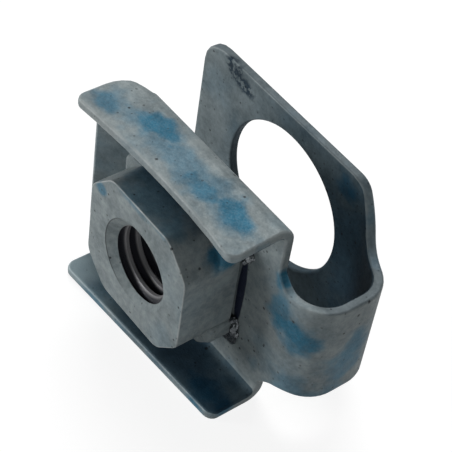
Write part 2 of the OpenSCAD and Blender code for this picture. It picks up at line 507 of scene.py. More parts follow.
cut(clip, punch(BACK_HOLE_R, BACK_MIDDLE))
cut(clip, punch(PLATE_HOLE_R, PLATE_MIDDLE))
print("sheet with holes:", len(clip.data.polygons), "faces")

# %% Round and mark the sheared edges
EDGE_R = 0.34
SHARP = math.radians(40)


def open_marks(piece):
    """Gives the piece two empty material places. A bevel puts its faces in the second, which marks them."""
    piece.data.materials.clear()
    piece.data.materials.append(None)
    piece.data.materials.append(None)


def keep_marks(piece):
    """Keeps the marks as a point attribute for the wear mask and empties the material places again.

    A point counts as rubbed when all faces around it are marked, so the mask fades within the bevel.
    """
    rub = piece.data.attributes.new("rub", "FLOAT", "POINT")
    for marked in (1, 0):
        for face in piece.data.polygons:
            if face.material_index == marked:
                for corner in face.vertices:
                    rub.data[corner].value = marked
    for face in piece.data.polygons:
        face.material_index = 0
    piece.data.materials.clear()


def soften(piece, radius):
    """Rounds and marks the sharp edges of a piece and sets smooth normals."""
    open_marks(piece)
    apply_modifier(piece, "BEVEL", width=radius, segments=3, limit_method="ANGLE", angle_limit=SHARP,
                   use_clamp_overlap=False, material=1)
    keep_marks(piece)
    alone(piece)
    bpy.ops.object.shade_smooth()
    apply_modifier(piece, "WEIGHTED_NORMAL", weight=80, keep_sharp=False)


soften(clip, EDGE_R)
print("clip:", triangles(clip), "triangles")

# %% [markdown]
# ## The square nut
# The nut is pressed from flat bar: a square block with its four corners cut off, and a foot left standing
# at each corner of its seat for the weld. A cube is brought to size, its upright edges are bevelled flat and
# then round, and its two faces get a thin bevel, because plating leaves no sharp edge. The feet are a second,
# lower block with less cut off. A cross is taken out of it, so that only its corners are left, and these are
# rounded and joined to the first block. The bevels of the faces are marked for the wear mask, as on the clip;
# on the nut it is also a painted highlight.

# %% Body of the nut
NUT_H = 7.5
NUT_REACH = 9.6
SEAT_GAP = 0.25
UPRIGHT_R = 0.8
RIM_R = 0.16
NUT_W = nut_hi.x - nut_lo.x
NUT_FRONT = nut_lo.y
NUT_BACK = NUT_FRONT + NUT_H
BODY_BACK = NUT_BACK - SEAT_GAP


def cut_block(name, front, back, width, reach):
    """A square block along Y with its corners cut off at this reach from the middle."""
    clear_selection()
    bpy.ops.mesh.primitive_cube_add(size=1, location=(0, (front + back) / 2, 0))
    block = named(name, (width, back - front, width))
    open_marks(block)
    edit(block)
    pick_edges(block, lambda a, b: abs(a.y - b.y) > NEAR)
    bpy.ops.mesh.bevel(offset=width - reach * math.sqrt(2), segments=1, affect="EDGES")
    clear_selection()
    return block


nut = cut_block("square_nut", NUT_FRONT, BODY_BACK, NUT_W, NUT_REACH)
edit(nut)
pick_edges(nut, lambda a, b: abs(a.y - b.y) > NEAR)
bpy.ops.mesh.bevel(offset=UPRIGHT_R, segments=4, affect="EDGES")
for y in (NUT_FRONT, BODY_BACK):
    bpy.ops.mesh.select_all(action="DESELECT")
    pick_edges(nut, lambda a, b: abs(a.y - y) < NEAR and abs(b.y - y) < NEAR)
    bpy.ops.mesh.bevel(offset=RIM_R, segments=3, affect="EDGES", material=1)
clear_selection()
print("nut body:", len(nut.data.polygons), "faces")

# %% Feet of the nut
FOOT_REACH = 11.0
FOOT_H = 3.2
FOOT_PROUD = 0.25
FEET_APART = 9.4
FOOT_ROUND = 0.45

feet = cut_block("feet", NUT_BACK - FOOT_H, NUT_BACK, NUT_W + 2 * FOOT_PROUD, FOOT_REACH)
for size in ((FEET_APART, NUT_H, 2 * NUT_W), (2 * NUT_W, NUT_H, FEET_APART)):
    clear_selection()
    bpy.ops.mesh.primitive_cube_add(size=1, location=(0, NUT_BACK, 0))
    cut(feet, named("gap", size))
apply_modifier(feet, "BEVEL", width=FOOT_ROUND, segments=4, limit_method="ANGLE",
               angle_limit=math.radians(30))
apply_modifier(nut, "BOOLEAN", operation="UNION", solver="EXACT", object=feet)
bpy.data.objects.remove(feet)
print("nut with feet:", len(nut.data.polygons), "faces")

# %% [markdown]
# ## The thread
# A real thread is cut by a tap, and so is this one. The core drill is a cylinder of the thread's minor
# diameter. The two countersinks are cones. The tap's tooth is a small wedge that the Screw modifier winds
# into a helix of the thread's pitch, from just inside the front countersink to past the seat. Each is taken
# out of the nut in turn.

# %% Drill, countersink and tap
PITCH = 1.5
MAJOR_R = 5.0
MINOR_R = 4.188
SINK_R = 5.4
SINK_SLOPE = math.tan(math.radians(50.4))
TURNS = 5
TAP_START = -3.1
TOOTH_ROOT_R = 3.9
TOOTH_TIP = PITCH / 8
FLANK = math.tan(math.radians(30))
SMOOTH_BELOW = math.radians(25)


def drill():
    clear_selection()
    bpy.ops.mesh.primitive_cylinder_add(
        vertices=ROUND_STEPS, radius=MINOR_R, depth=3 * NUT_H, rotation=(math.pi / 2, 0, 0))
    return named("drill")


def countersink(face_y, outward):
    """A cone that opens to the sink's radius at the face and goes on past it.

    It is turned by half a step, so that its edges don't lie on those of the drilled hole.
    """
    past = 1.0
    depth = (SINK_R - TOOTH_ROOT_R) / SINK_SLOPE + past
    clear_selection()
    bpy.ops.mesh.primitive_cone_add(
        vertices=ROUND_STEPS, radius1=SINK_R + past * SINK_SLOPE, radius2=TOOTH_ROOT_R, depth=depth,
        rotation=(outward * math.pi / 2, math.pi / ROUND_STEPS, 0),
        location=(0, face_y + outward * (past - depth / 2), 0))
    return named("countersink")


def tap():
    """A helix with the section of the thread's groove."""
    root_half = TOOTH_TIP / 2 + (MAJOR_R - TOOTH_ROOT_R) * FLANK
    clear_selection()
    bpy.ops.mesh.primitive_plane_add(
        size=1, location=((TOOTH_ROOT_R + MAJOR_R) / 2, TAP_START, 0))
    tooth = named("tap", (MAJOR_R - TOOTH_ROOT_R, 2 * root_half, 1))
    edit(tooth)
    pick_edges(tooth, lambda a, b: min(a.x, b.x) > MAJOR_R - NEAR)
    bpy.ops.transform.resize(value=(1, TOOTH_TIP / 2 / root_half, 1), center_override=(0, TAP_START, 0))
    bpy.ops.mesh.select_all(action="SELECT")
    bpy.ops.mesh.delete(type="ONLY_FACE")
    clear_selection()
    apply_modifier(tooth, "SCREW", axis="Y", screw_offset=PITCH, iterations=TURNS, steps=64, render_steps=64,
                   use_merge_vertices=False)
    edit(tooth, "SELECT")
    bpy.ops.mesh.fill_holes(sides=4)
    bpy.ops.mesh.normals_make_consistent(inside=False)
    clear_selection()
    return tooth


cut(nut, drill())
cut(nut, countersink(NUT_FRONT, -1))
cut(nut, countersink(BODY_BACK, 1))
cut(nut, tap())
keep_marks(nut)
alone(nut)
bpy.ops.object.shade_smooth_by_angle(angle=SMOOTH_BELOW)
print("tapped nut:", triangles(nut), "triangles")

# %% [markdown]
# ## Weld metal
# The feet were pressed hot into the plate. Some metal squeezed out at each corner and froze in rough, shiny
# lumps. One lump is modelled from a ball: its points are pushed in and out at random with a fixed seed, the
# faces are divided and the points are pushed again, less far. All others are copies of it, each stretched,
# turned and moved to its place at a foot.

# %% One lump and its copies
LUMPS = (
    ((7.3, 3.95, 6.9), (2.1, 0.42, 2.1), 0), ((9.0, 3.95, 5.5), (0.5, 0.42, 0.75), 25),
    ((9.5, 4.05, 5.9), (0.35, 0.35, 0.45), -30), ((8.8, 3.7, 4.8), (0.28, 0.3, 0.4), 10),
    ((7.3, 3.95, -6.9), (2.1, 0.42, 2.1), 180), ((8.95, 3.8, -5.9), (0.42, 0.5, 1.2), 5),
    ((9.2, 4.0, -6.9), (0.4, 0.35, 0.5), 60), ((8.75, 3.6, -4.7), (0.3, 0.35, 0.4), 0),
    ((-7.3, 3.95, 6.9), (2.1, 0.42, 2.1), 90), ((-8.9, 3.9, 5.8), (0.5, 0.45, 0.9), 40),
    ((-7.3, 3.95, -6.9), (2.1, 0.42, 2.1), 270), ((-8.9, 3.9, -5.7), (0.5, 0.45, 0.8), 100),
)

clear_selection()
bpy.ops.mesh.primitive_ico_sphere_add(subdivisions=2, radius=1)
lump = named("lump")
edit(lump, "SELECT")
bpy.ops.transform.vertex_random(offset=0.3, uniform=0.2, normal=0.8, seed=5)
bpy.ops.mesh.subdivide(number_cuts=2, smoothness=0.8)
bpy.ops.transform.vertex_random(offset=0.12, uniform=0.2, normal=0.8, seed=8)
bpy.ops.mesh.vertices_smooth(factor=0.4, repeat=1)
clear_selection()
copies = []
for place_mm, half_size, turn in LUMPS:
    alone(lump)
    bpy.ops.object.duplicate()
    copy = bpy.context.object
    edit(copy, "SELECT")
    bpy.ops.transform.rotate(value=math.radians(turn), orient_axis="Y", center_override=(0, 0, 0))
    bpy.ops.transform.resize(value=half_size, center_override=(0, 0, 0))
    bpy.ops.transform.translate(value=place_mm)
    clear_selection()
    copies.append(copy)
bpy.data.objects.remove(lump)
for copy in copies:
    copy.select_set(True)
bpy.context.view_layer.objects.active = copies[0]
bpy.ops.object.join()
welds = bpy.context.object
welds.name = "weld_metal"
welds.data.name = "weld_metal"
bpy.ops.object.shade_smooth()
print("weld metal:", triangles(welds), "triangles")

# %% [markdown]
# ## Onto the frame
# Clip, nut and weld metal are rigid together, so all three ride on the part's one body. The clip and the nut
# take the place of the frame's plain solids. The weld metal has no plain solid and is added to them.

# %% Shrink to metres and put on the frame


def place(piece):
    """Brings a finished piece from millimetres to metres and fixes it to the part's one body."""
    edit(piece, "SELECT")
    bpy.ops.transform.resize(value=(MM, MM, MM), center_override=(0, 0, 0))
    clear_selection()
    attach(piece, "root")


place(clip)
place(nut)
place(welds)
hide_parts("clip")
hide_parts("weld_nut")
print("placed:", clip.name, nut.name, welds.name)

# %% [markdown]
# ## Building blocks of the coating
# Zinc from a plating bath is never one even grey: it is cloudy, finely grained and specked with dark pits, it
# is rubbed bright along the edges, which also paints their highlight, and here a blue dye has run over it in
# patches. The inside of the bend gets a painted shade.
# Each of these effects is a node group, so that the clip, the nut and the weld metal can all use it with
# their own values. The groups read Object coordinates in metres, so a scale of 250 makes patches of about
# 4 mm.

# %% Helpers for shader nodes


def feed(tree, socket, value):
    """Sets a socket to a value, or links it to another node's output."""
    if isinstance(value, bpy.types.NodeSocket):
        tree.links.new(value, socket)
    else:
        socket.default_value = value


def new_node(tree, kind, *values):
    """A node whose first inputs are set or linked in turn."""
    step = tree.nodes.new(kind)
    for socket, value in zip(step.inputs, values):
        feed(tree, socket, value)
    return step


def calc(tree, operation, *values):
    """A Math node. Gives its output."""
    step = new_node(tree, "ShaderNodeMath", *values)
    step.operation = operation
    return step.outputs[0]


def times(tree, value, *others):
    """Several values multiplied."""
    for other in others:
        value = calc(tree, "MULTIPLY", value, other)
    return value


def vector_calc(tree, operation, *values):
    """A Vector Math node. Gives the node."""
    step = new_node(tree, "ShaderNodeVectorMath", *values)
    step.operation = operation
    return step


def ramp(tree, value, low, high, to_low=0.0, to_high=1.0):
    """A Map Range node with a smooth step. Gives its output."""
    step = new_node(tree, "ShaderNodeMapRange", value, low, high, to_low, to_high)
    step.interpolation_type = "SMOOTHSTEP"
    return step.outputs[0]


def tint(tree, share, first, second, kind="MIX"):
    """A Mix node for colours. Gives its output."""
    step = tree.nodes.new("ShaderNodeMix")
    step.data_type = "RGBA"
    step.blend_type = kind
    for number, value in ((0, share), (6, first), (7, second)):
        feed(tree, step.inputs[number], value)
    return step.outputs[2]


def object_point(tree):
    """The Object coordinates."""
    return tree.nodes.new("ShaderNodeTexCoord").outputs["Object"]


def noise(tree, scale, detail=3.0):
    """A Noise Texture on Object coordinates. Gives its value."""
    step = tree.nodes.new("ShaderNodeTexNoise")
    feed(tree, step.inputs["Vector"], object_point(tree))
    feed(tree, step.inputs["Scale"], scale)
    feed(tree, step.inputs["Detail"], detail)
    return step.outputs[0]


def new_group(name, inputs, outputs):
    """A shader node group. Gives its tree and the sockets inside it for its inputs and its outputs."""
    tree = bpy.data.node_groups.new(name, "ShaderNodeTree")
    for label, kind, value in inputs:
        tree.interface.new_socket(name=label, in_out="INPUT", socket_type=kind).default_value = value
    for label in outputs:
        tree.interface.new_socket(name=label, in_out="OUTPUT", socket_type="NodeSocketFloat")
    return tree, tree.nodes.new("NodeGroupInput").outputs, tree.nodes.new("NodeGroupOutput").inputs


def use_group(tree, group, **values):
    """Places a group in a material, with its inputs set by name. Gives its outputs."""
    step = tree.nodes.new("ShaderNodeGroup")
    step.node_tree = group
    for label, value in values.items():
        feed(tree, step.inputs[label.replace("_", " ")], value)
    return step.outputs


NUMBER = "NodeSocketFloat"
TRIPLE = "NodeSocketVector"
print("node helpers ready")

# %% Clouds and grain
FINER = 2.6
clouds_group, given, out = new_group(
    "zinc_clouds",
    [("Cloud Scale", NUMBER, 260), ("Mottle Scale", NUMBER, 1100), ("Grain Scale", NUMBER, 5000)],
    ["Clouds", "Grain"])
tree = clouds_group
wide = ramp(tree, noise(tree, given["Cloud Scale"], 4.0), 0.32, 0.68)
mottle = ramp(tree, noise(tree, given["Mottle Scale"], 5.0), 0.3, 0.7)
fine_scale = times(tree, given["Mottle Scale"], FINER)
fine = ramp(tree, noise(tree, fine_scale, 4.0), 0.3, 0.7)
mixed = times(tree, wide, 0.46)
for part, share in ((mottle, 0.32), (fine, 0.22)):
    mixed = calc(tree, "ADD", mixed, times(tree, part, share))
feed(tree, out["Clouds"], mixed)
feed(tree, out["Grain"], ramp(tree, noise(tree, given["Grain Scale"]), 0.3, 0.7))
print("group:", tree.name)

# %% A stain
STAIN_EDGE = 0.85
STAIN_NOISE = 330
stain_group, given, out = new_group(
    "stain",
    [("Centre", TRIPLE, (0, 0, 0)), ("Half Size", TRIPLE, (1, 1, 1)), ("Ragged", NUMBER, 2.4),
     ("Soft", NUMBER, 0.46)],
    ["Mask"])
tree = stain_group
offset = vector_calc(tree, "SUBTRACT", object_point(tree), given["Centre"]).outputs["Vector"]
offset = vector_calc(tree, "DIVIDE", offset, given["Half Size"]).outputs["Vector"]
reach = vector_calc(tree, "LENGTH", offset).outputs["Value"]
ragged = calc(tree, "SUBTRACT", noise(tree, STAIN_NOISE, 5.0), 0.5)
reach = calc(tree, "ADD", reach, times(tree, ragged, given["Ragged"]))
inside = calc(tree, "SUBTRACT", STAIN_EDGE, given["Soft"])
outside = calc(tree, "ADD", STAIN_EDGE, given["Soft"])
feed(tree, out["Mask"], ramp(tree, reach, inside, outside, 1.0, 0.0))
print("group:", tree.name)

# %% Pits
pits_group, given, out = new_group(
    "dark_pits", [("Pit Scale", NUMBER, 900), ("Share", NUMBER, 0.2), ("Radius", NUMBER, 0.16)], ["Mask"])
tree = pits_group
cells = tree.nodes.new("ShaderNodeTexVoronoi")
feed(tree, cells.inputs["Vector"], object_point(tree))
feed(tree, cells.inputs["Scale"], given["Pit Scale"])
lot = new_node(tree, "ShaderNodeSeparateColor", cells.outputs["Color"])
chosen = calc(tree, "LESS_THAN", lot.outputs[0], given["Share"])
size = times(tree, given["Radius"], calc(tree, "ADD", lot.outputs[1], 0.5))
core = times(tree, size, 0.5)
hollow = ramp(tree, cells.outputs["Distance"], core, size, 1.0, 0.0)
feed(tree, out["Mask"], times(tree, chosen, hollow))
print("group:", tree.name)

# %% Rubbed edges and painted highlight


def object_parts(tree):
    """X, Y and Z of the Object coordinates."""
    return new_node(tree, "ShaderNodeSeparateXYZ", object_point(tree)).outputs


# The rubbed edges are wear; where a coat lightens them strongly, as on the nut, they are also a painted
# highlight.
rub_and_highlight_group, given, out = new_group("rubbed_edge_and_highlight", [("Patch Scale", NUMBER, 500)], ["Mask"])
tree = rub_and_highlight_group
mark = tree.nodes.new("ShaderNodeAttribute")
mark.attribute_name = "rub"
patchy = ramp(tree, noise(tree, given["Patch Scale"], 4.0), 0.3, 0.62, 0.25, 1.0)
handled = ramp(tree, object_parts(tree)["Y"], 0.0, 6.0 * MM, 1.0, 0.35)
feed(tree, out["Mask"], times(tree, mark.outputs["Fac"], patchy, handled))
print("group:", tree.name)

# %% Painted shade on the inner side
# Painted shade: darkens the faces that look towards the bend's middle, more the further along X.
inner_shade_group, given, out = new_group(
    "inner_painted_shade", [("Centre", TRIPLE, (0, 0, 0)), ("From X", NUMBER, 0), ("To X", NUMBER, 1)], ["Mask"])
tree = inner_shade_group
offset = vector_calc(tree, "SUBTRACT", object_point(tree), given["Centre"]).outputs["Vector"]
facing = tree.nodes.new("ShaderNodeNewGeometry").outputs["Normal"]
inward = vector_calc(tree, "DOT_PRODUCT", offset, facing).outputs["Value"]
inward = ramp(tree, inward, -1.5 * MM, 0.0, 1.0, 0.0)
deep = ramp(tree, object_parts(tree)["X"], given["From X"], given["To X"])
feed(tree, out["Mask"], times(tree, inward, deep))
print("group:", tree.name)

# %% [markdown]
# ## The zinc coat
# The clip and the nut come out of the same plating bath, so one function gives both their coat: two greys
# mixed by the clouds, multiplied by a blue where a stain lies, lightened where an edge is rubbed, which on
# the nut is also a painted highlight, and darkened in the pits. Multiplying keeps the clouds visible through
# the dye.
# The coat is dull and hardly metallic, because zinc that has been handled and stored is covered by a thin
# white-grey layer. The places and half sizes of the stains are given in millimetres.

# %% The coat
LIGHT_ZINC = (0.345, 0.395, 0.403, 1)
DARK_ZINC = (0.158, 0.195, 0.206, 1)
BRIGHT_EDGE = (0.48, 0.525, 0.53, 1)
PIT_DARK = (0.035, 0.042, 0.046, 1)
BLUE_DYE = (0.13, 0.55, 0.84, 1)
COAT_ROUGH = 0.52
COAT_METALLIC = 0.12
COAT_GLOSS = 0.2
COAT_BUMP = 0.6
COAT_DEPTH = 0.05
SPECKS = 0.6
PIT_TONE = 0.85
GRAIN_ROUGH = 0.14
RUB_SHINE = 0.1
GRAIN_HEIGHT = 0.35


def at(point_mm):
    """A place or a size in metres, given in millimetres."""
    return Vector(point_mm) * MM


def stained(tree, centre, half_size, **values):
    """The mask of one stain, with its place and half size in millimetres."""
    return use_group(tree, stain_group, Centre=at(centre), Half_Size=at(half_size), **values)["Mask"]


def zinc_coat(tree, stains, faint, bright):
    """The coat's colour, roughness and height.

    stains are (centre, half size, strength) in millimetres, faint is the strength of the dye that has run
    everywhere and bright is how far the rubbed edges are lightened, as wear and, where it is high, also as a
    painted highlight.
    """
    clouds = use_group(tree, clouds_group)
    pits = use_group(tree, pits_group)["Mask"]
    specks = use_group(tree, pits_group, Pit_Scale=2400.0, Share=0.09, Radius=0.3)["Mask"]
    pits = calc(tree, "MAXIMUM", pits, times(tree, specks, SPECKS))
    rub = use_group(tree, rub_and_highlight_group)["Mask"]
    colour = tint(tree, clouds["Clouds"], DARK_ZINC, LIGHT_ZINC)
    wash = ramp(tree, noise(tree, 150, 4.0), 0.45, 0.75, 0.0, faint)
    for centre, half_size, strength in stains:
        mask = stained(tree, centre, half_size)
        wash = calc(tree, "MAXIMUM", wash, times(tree, mask, strength))
    wash = times(tree, wash, ramp(tree, clouds["Grain"], 0.0, 1.0, 0.92, 1.0))
    colour = tint(tree, wash, colour, BLUE_DYE, "MULTIPLY")
    colour = tint(tree, times(tree, rub, bright), colour, BRIGHT_EDGE)
    colour = tint(tree, times(tree, pits, PIT_TONE), colour, PIT_DARK)
    rough = calc(tree, "ADD", times(tree, clouds["Grain"], GRAIN_ROUGH), COAT_ROUGH)
    rough = calc(tree, "SUBTRACT", rough, times(tree, rub, RUB_SHINE))
    height = calc(tree, "SUBTRACT", times(tree, clouds["Grain"], GRAIN_HEIGHT), pits)
    return colour, rough, height


def new_material(name):
    material = bpy.data.materials.new(name)
    material.use_nodes = True
    return material


def finish_material(piece, material, colour, rough, height, metallic=COAT_METALLIC):
    """Links colour, roughness and bump to the material's Principled shader and puts it on the piece."""
    tree = material.node_tree
    shader = tree.nodes["Principled BSDF"]
    bump = tree.nodes.new("ShaderNodeBump")
    bump.inputs["Strength"].default_value = COAT_BUMP
    bump.inputs["Distance"].default_value = COAT_DEPTH * MM
    feed(tree, bump.inputs["Height"], height)
    feed(tree, shader.inputs["Base Color"], colour)
    feed(tree, shader.inputs["Roughness"], rough)
    feed(tree, shader.inputs["Normal"], bump.outputs["Normal"])
    shader.inputs["Metallic"].default_value = metallic
    shader.inputs["Specular IOR Level"].default_value = COAT_GLOSS
    piece.data.materials.append(material)


print("coat ready")

# %% Coat of the clip
CLIP_STAINS = (
    ((-10.9, -0.9, 13.7), (2.6, 1.4, 2.0), 0.8), ((-4.6, 1.4, 13.7), (4.0, 2.0, 2.0), 1.0),
    ((4.9, 0.1, 13.7), (2.8, 1.4, 2.0), 0.9), ((9.1, 0.9, 13.7), (3.0, 1.4, 2.0), 1.0),
    ((0.0, 0.6, 13.7), (13.0, 2.2, 2.0), 0.6),
    ((17.6, 4.8, 1.0), (3.4, 2.6, 2.2), 1.0), ((15.0, 4.1, 3.0), (1.6, 1.5, 3.0), 0.8),
    ((17.0, 4.6, -0.6), (2.2, 2.4, 2.0), 0.8),
    ((20.0, 10.0, -3.0), (2.0, 3.0, 4.0), 0.8), ((13.9, 5.0, 6.2), (0.9, 1.4, 1.2), 1.0),
    ((10.2, 16.2, 9.3), (1.9, 1.2, 1.8), 1.0), ((11.0, -0.4, -12.6), (3.4, 2.6, 1.6), 1.0),
    ((0.0, 0.0, -12.6), (16.0, 6.0, 1.6), 0.5), ((12.0, 16.2, 1.0), (6.0, 2.0, 9.0), 0.5),
    # The last entry makes the outside of the U darker towards its lower edge.
    ((0.0, -3.6, -13.2), (16.0, 1.0, 1.2), 0.7), ((18.0, 6.0, -8.0), (5.0, 6.0, 2.4), 0.6),
)
clip_coat = new_material("dull_zinc_clip")
tree = clip_coat.node_tree
colour, rough, height = zinc_coat(tree, CLIP_STAINS, faint=0.3, bright=0.55)
parts = object_parts(tree)
print("clip coat:", len(tree.nodes), "nodes")

# %% [markdown]
# ## Wear and painted light of the clip
# A clip that lay loose among others is worn where it sticks out. The front edge of the upper flange is worn
# lighter, and this also paints its highlight. The lower flange's corner at the mouth and a band along its
# front edge get painted light. The upward-facing edges behind the front plate and the wall of the back hole
# get painted shade, a painted shadow lies on the lower flange below the nut, and painted shade fills the
# bend. This could be painted by hand on an unwrapped surface. Here each mask is found from a point's place
# and from the way that its face looks, which needs no unwrapping and stays sharp at any distance.

# %% Worn edges and painted light
WORN_AND_HIGHLIT_ZINC = (0.47, 0.505, 0.495, 1)
PAINTED_LIGHT_ZINC = (0.42, 0.52, 0.55, 1)
# Wear and painted highlight: the upper flange's front edge is lightened.
worn_highlit_front = ramp(tree, parts["Y"], -4.3 * MM, -2.0 * MM, 1.0, 0.0)
upper = ramp(tree, parts["Z"], 12.0 * MM, 13.0 * MM)
patchy = ramp(tree, noise(tree, 600, 5.0), 0.3, 0.62, 0.25, 0.85)
colour = tint(tree, times(tree, patchy, worn_highlit_front, upper), colour, WORN_AND_HIGHLIT_ZINC)
# Painted light: the lower flange's corner at the mouth and a band along its front edge are lightened.
corner = stained(tree, (-11.5, -1.5, -12.55), (2.8, 3.8, 1.0), Ragged=1.5)
from_edge = calc(tree, "SUBTRACT", parts["Y"], times(tree, parts["X"], LOWER_SKEW))
lit_front_band = times(
    tree, ramp(tree, from_edge, -3.8 * MM, -1.0 * MM, 0.6, 0.0),
    ramp(tree, parts["Z"], -12.9 * MM, -12.7 * MM), ramp(tree, parts["Z"], -12.3 * MM, -11.5 * MM, 1.0, 0.0))
painted_light_mask = calc(tree, "MAXIMUM", times(tree, corner, 0.8), lit_front_band)
colour = tint(tree, painted_light_mask, colour, PAINTED_LIGHT_ZINC)
print("with worn edges:", len(tree.nodes), "nodes")

# %% Painted shade on upper edges, painted shadow on the lower flange and painted shade in the bend
EDGE_AND_HOLE_SHADE = (0.55, 0.58, 0.61, 1)
PAINTED_SHADOW_TONE = (0.42, 0.47, 0.52, 1)
INNER_SHADE_TONE = (0.36, 0.46, 0.53, 1)
BEND_SHADE_TONE = (0.45, 0.5, 0.55, 1)
BEND_MIDDLE = (11.0, 10.75, 0.0)
INNER_SHADE_ROUGH = 0.3


def axis_distance(tree):
    """The distance from the thread's axis."""
    parts = object_parts(tree)
    squares = (calc(tree, "POWER", parts[axis], 2.0) for axis in "XZ")
    return calc(tree, "SQRT", calc(tree, "ADD", *squares))


def bend_shade(tree, from_x, to_x):
    """Painted shade on the faces that look to the bend's middle, growing between two places along the clip.
    """
    return use_group(tree, inner_shade_group, Centre=at(BEND_MIDDLE), From_X=from_x * MM, To_X=to_x * MM)["Mask"]


# Painted shade: the upward-facing edges behind the front plate and the wall of the back hole are darkened.
facing = tree.nodes.new("ShaderNodeNewGeometry").outputs["Normal"]
looks_up = ramp(tree, new_node(tree, "ShaderNodeSeparateXYZ", facing).outputs["Z"], 0.4, 0.8)
top_edge_shade = times(tree, looks_up, ramp(tree, parts["Y"], 5.5 * MM, 6.5 * MM))
hole_wall_shade = ramp(tree, axis_distance(tree), (BACK_HOLE_R + 0.05) * MM, (BACK_HOLE_R + 0.2) * MM, 1.0, 0.0)
hole_wall_shade = times(tree, hole_wall_shade, ramp(tree, parts["Y"], 15.0 * MM, 16.0 * MM))
colour = tint(tree, calc(tree, "MAXIMUM", top_edge_shade, hole_wall_shade), colour, EDGE_AND_HOLE_SHADE, "MULTIPLY")
# Painted shadow on the lower flange below the nut and the upper flange.
painted_shadow = stained(tree, (3.0, 0.9, -12.55), (10.0, 3.6, 1.0), Ragged=0.8, Soft=0.6)
colour = tint(tree, painted_shadow, colour, PAINTED_SHADOW_TONE, "MULTIPLY")
# Painted shade inside the bend, over the whole inner side and more at the bend itself; roughness is raised
# there too.
inner_shade = bend_shade(tree, -30.0, 16.0)
colour = tint(tree, inner_shade, colour, INNER_SHADE_TONE, "MULTIPLY")
colour = tint(tree, bend_shade(tree, 10.0, 16.0), colour, BEND_SHADE_TONE, "MULTIPLY")
rough = calc(tree, "ADD", rough, times(tree, inner_shade, INNER_SHADE_ROUGH))
print("with grime:", len(tree.nodes), "nodes")

# %% [markdown]
# ## Painted gap shade and scrape
# A narrow dark blue strip on the plate beside the nut is painted shade in the gap under the nut's edge. Near
# the upper corner of the back leg the coat is torn by a scrape. Both use the stain mask with their own edges:
# the strip is narrow and sharp, the scrape is two ragged stains broken up by a fine noise, which also goes
# into the bump, because a scrape digs into the metal.

# %% Painted gap shade and scrape
GAP_SHADE_TONE = (0.05, 0.06, 0.12, 1)
SCRAPE_DARK = (0.12, 0.19, 0.26, 1)
SCRAPE_SIZE = (1.8, 0.8, 1.2)
SCRAPE_DEPTH = 2.5
# Painted shade in the gap between the nut's edge and the plate.
gap_shade = stained(tree, (8.65, 4.1, -0.3), (0.7, 0.6, 6.5), Ragged=0.3, Soft=0.12)
colour = tint(tree, gap_shade, colour, GAP_SHADE_TONE, "MULTIPLY")
scrape = calc(tree, "MAXIMUM", *(
    stained(tree, centre, SCRAPE_SIZE, Ragged=3.0, Soft=0.3)
    for centre in ((-10.4, 16.2, 11.0), (-8.2, 16.2, 10.1))))
scrape = times(tree, scrape, ramp(tree, noise(tree, 1700, 5.0), 0.37, 0.53))
colour = tint(tree, scrape, colour, SCRAPE_DARK, "MULTIPLY")
height = calc(tree, "SUBTRACT", height, times(tree, scrape, SCRAPE_DEPTH))
finish_material(clip, clip_coat, colour, rough, height)
print("finished clip coat:", len(tree.nodes), "nodes")

# %% [markdown]
# ## The nut's coat
# The nut has the same coat with its own stains, and its rims are lightened fully, as wear and as a painted
# highlight. A painted shadow of the flange lies on its upper side, and a thin dark line marks the
# countersink's outer edge. Plating hardly reaches into the thread, so the bore gets its own colour and is
# shinier: its grooves are painted dark as shade and its crests lighter. They are told apart by their distance
# from the thread's axis, which follows the helix exactly and needs no separate faces.

# %% Coat and thread of the nut
THREAD_CREST = (0.26, 0.26, 0.27, 1)
THREAD_ROOT_SHADE = (0.03, 0.032, 0.04, 1)
CREST_TO, ROOT_FROM = 4.2, 4.55
THREAD_SHINE = 0.25
SINK_DEPTH = (SINK_R - MINOR_R) / SINK_SLOPE
NUT_STAINS = (
    ((8.0, 1.2, 6.4), (1.6, 1.8, 2.0), 1.0), ((-6.6, -3.75, 5.8), (0.9, 0.8, 0.9), 0.8),
    ((6.2, -3.75, -6.2), (2.6, 1.5, 2.6), 0.2), ((-1.2, -1.0, 8.5), (8.0, 3.5, 0.8), 0.6),
)
nut_coat = new_material("dull_zinc_nut")
tree = nut_coat.node_tree
# The nut's rims are lightened fully: wear and a painted highlight along the rim.
colour, rough, height = zinc_coat(tree, NUT_STAINS, faint=0.15, bright=1.0)
parts = object_parts(tree)
from_axis = axis_distance(tree)
# Painted shadow of the upper flange on the nut's upper side, darker towards the back.
upper_side = ramp(tree, parts["Z"], 7.4 * MM, 8.4 * MM)
painted_shadow = times(tree, upper_side, ramp(tree, parts["Y"], -3.0 * MM, 1.0 * MM))
colour = tint(tree, painted_shadow, colour, PAINTED_SHADOW_TONE, "MULTIPLY")
off_edge = calc(tree, "ABSOLUTE", calc(tree, "SUBTRACT", from_axis, SINK_R * MM))
sink_line = times(tree, ramp(tree, off_edge, 0.02 * MM, 0.1 * MM, 1.0, 0.0),
                  ramp(tree, parts["X"], -4.5 * MM, -1.0 * MM, 0.75, 0.0))
colour = tint(tree, sink_line, colour, PIT_DARK)
# Painted shade in the thread's grooves, with lighter crests.
bore_colour_and_shade = tint(tree, ramp(tree, from_axis, CREST_TO * MM, ROOT_FROM * MM), THREAD_CREST, THREAD_ROOT_SHADE)
past_sink = calc(tree, "SUBTRACT", NUT_H / 2 * MM, calc(tree, "ABSOLUTE", parts["Y"]))
bored = times(tree, ramp(tree, from_axis, (MAJOR_R + 0.05) * MM, (MAJOR_R + 0.1) * MM, 1.0, 0.0),
              ramp(tree, past_sink, (SINK_DEPTH - 0.1) * MM, SINK_DEPTH * MM))
colour = tint(tree, bored, colour, bore_colour_and_shade)
rough = calc(tree, "SUBTRACT", rough, times(tree, bored, THREAD_SHINE))
finish_material(nut, nut_coat, colour, rough, height)
print("nut coat:", len(tree.nodes), "nodes")

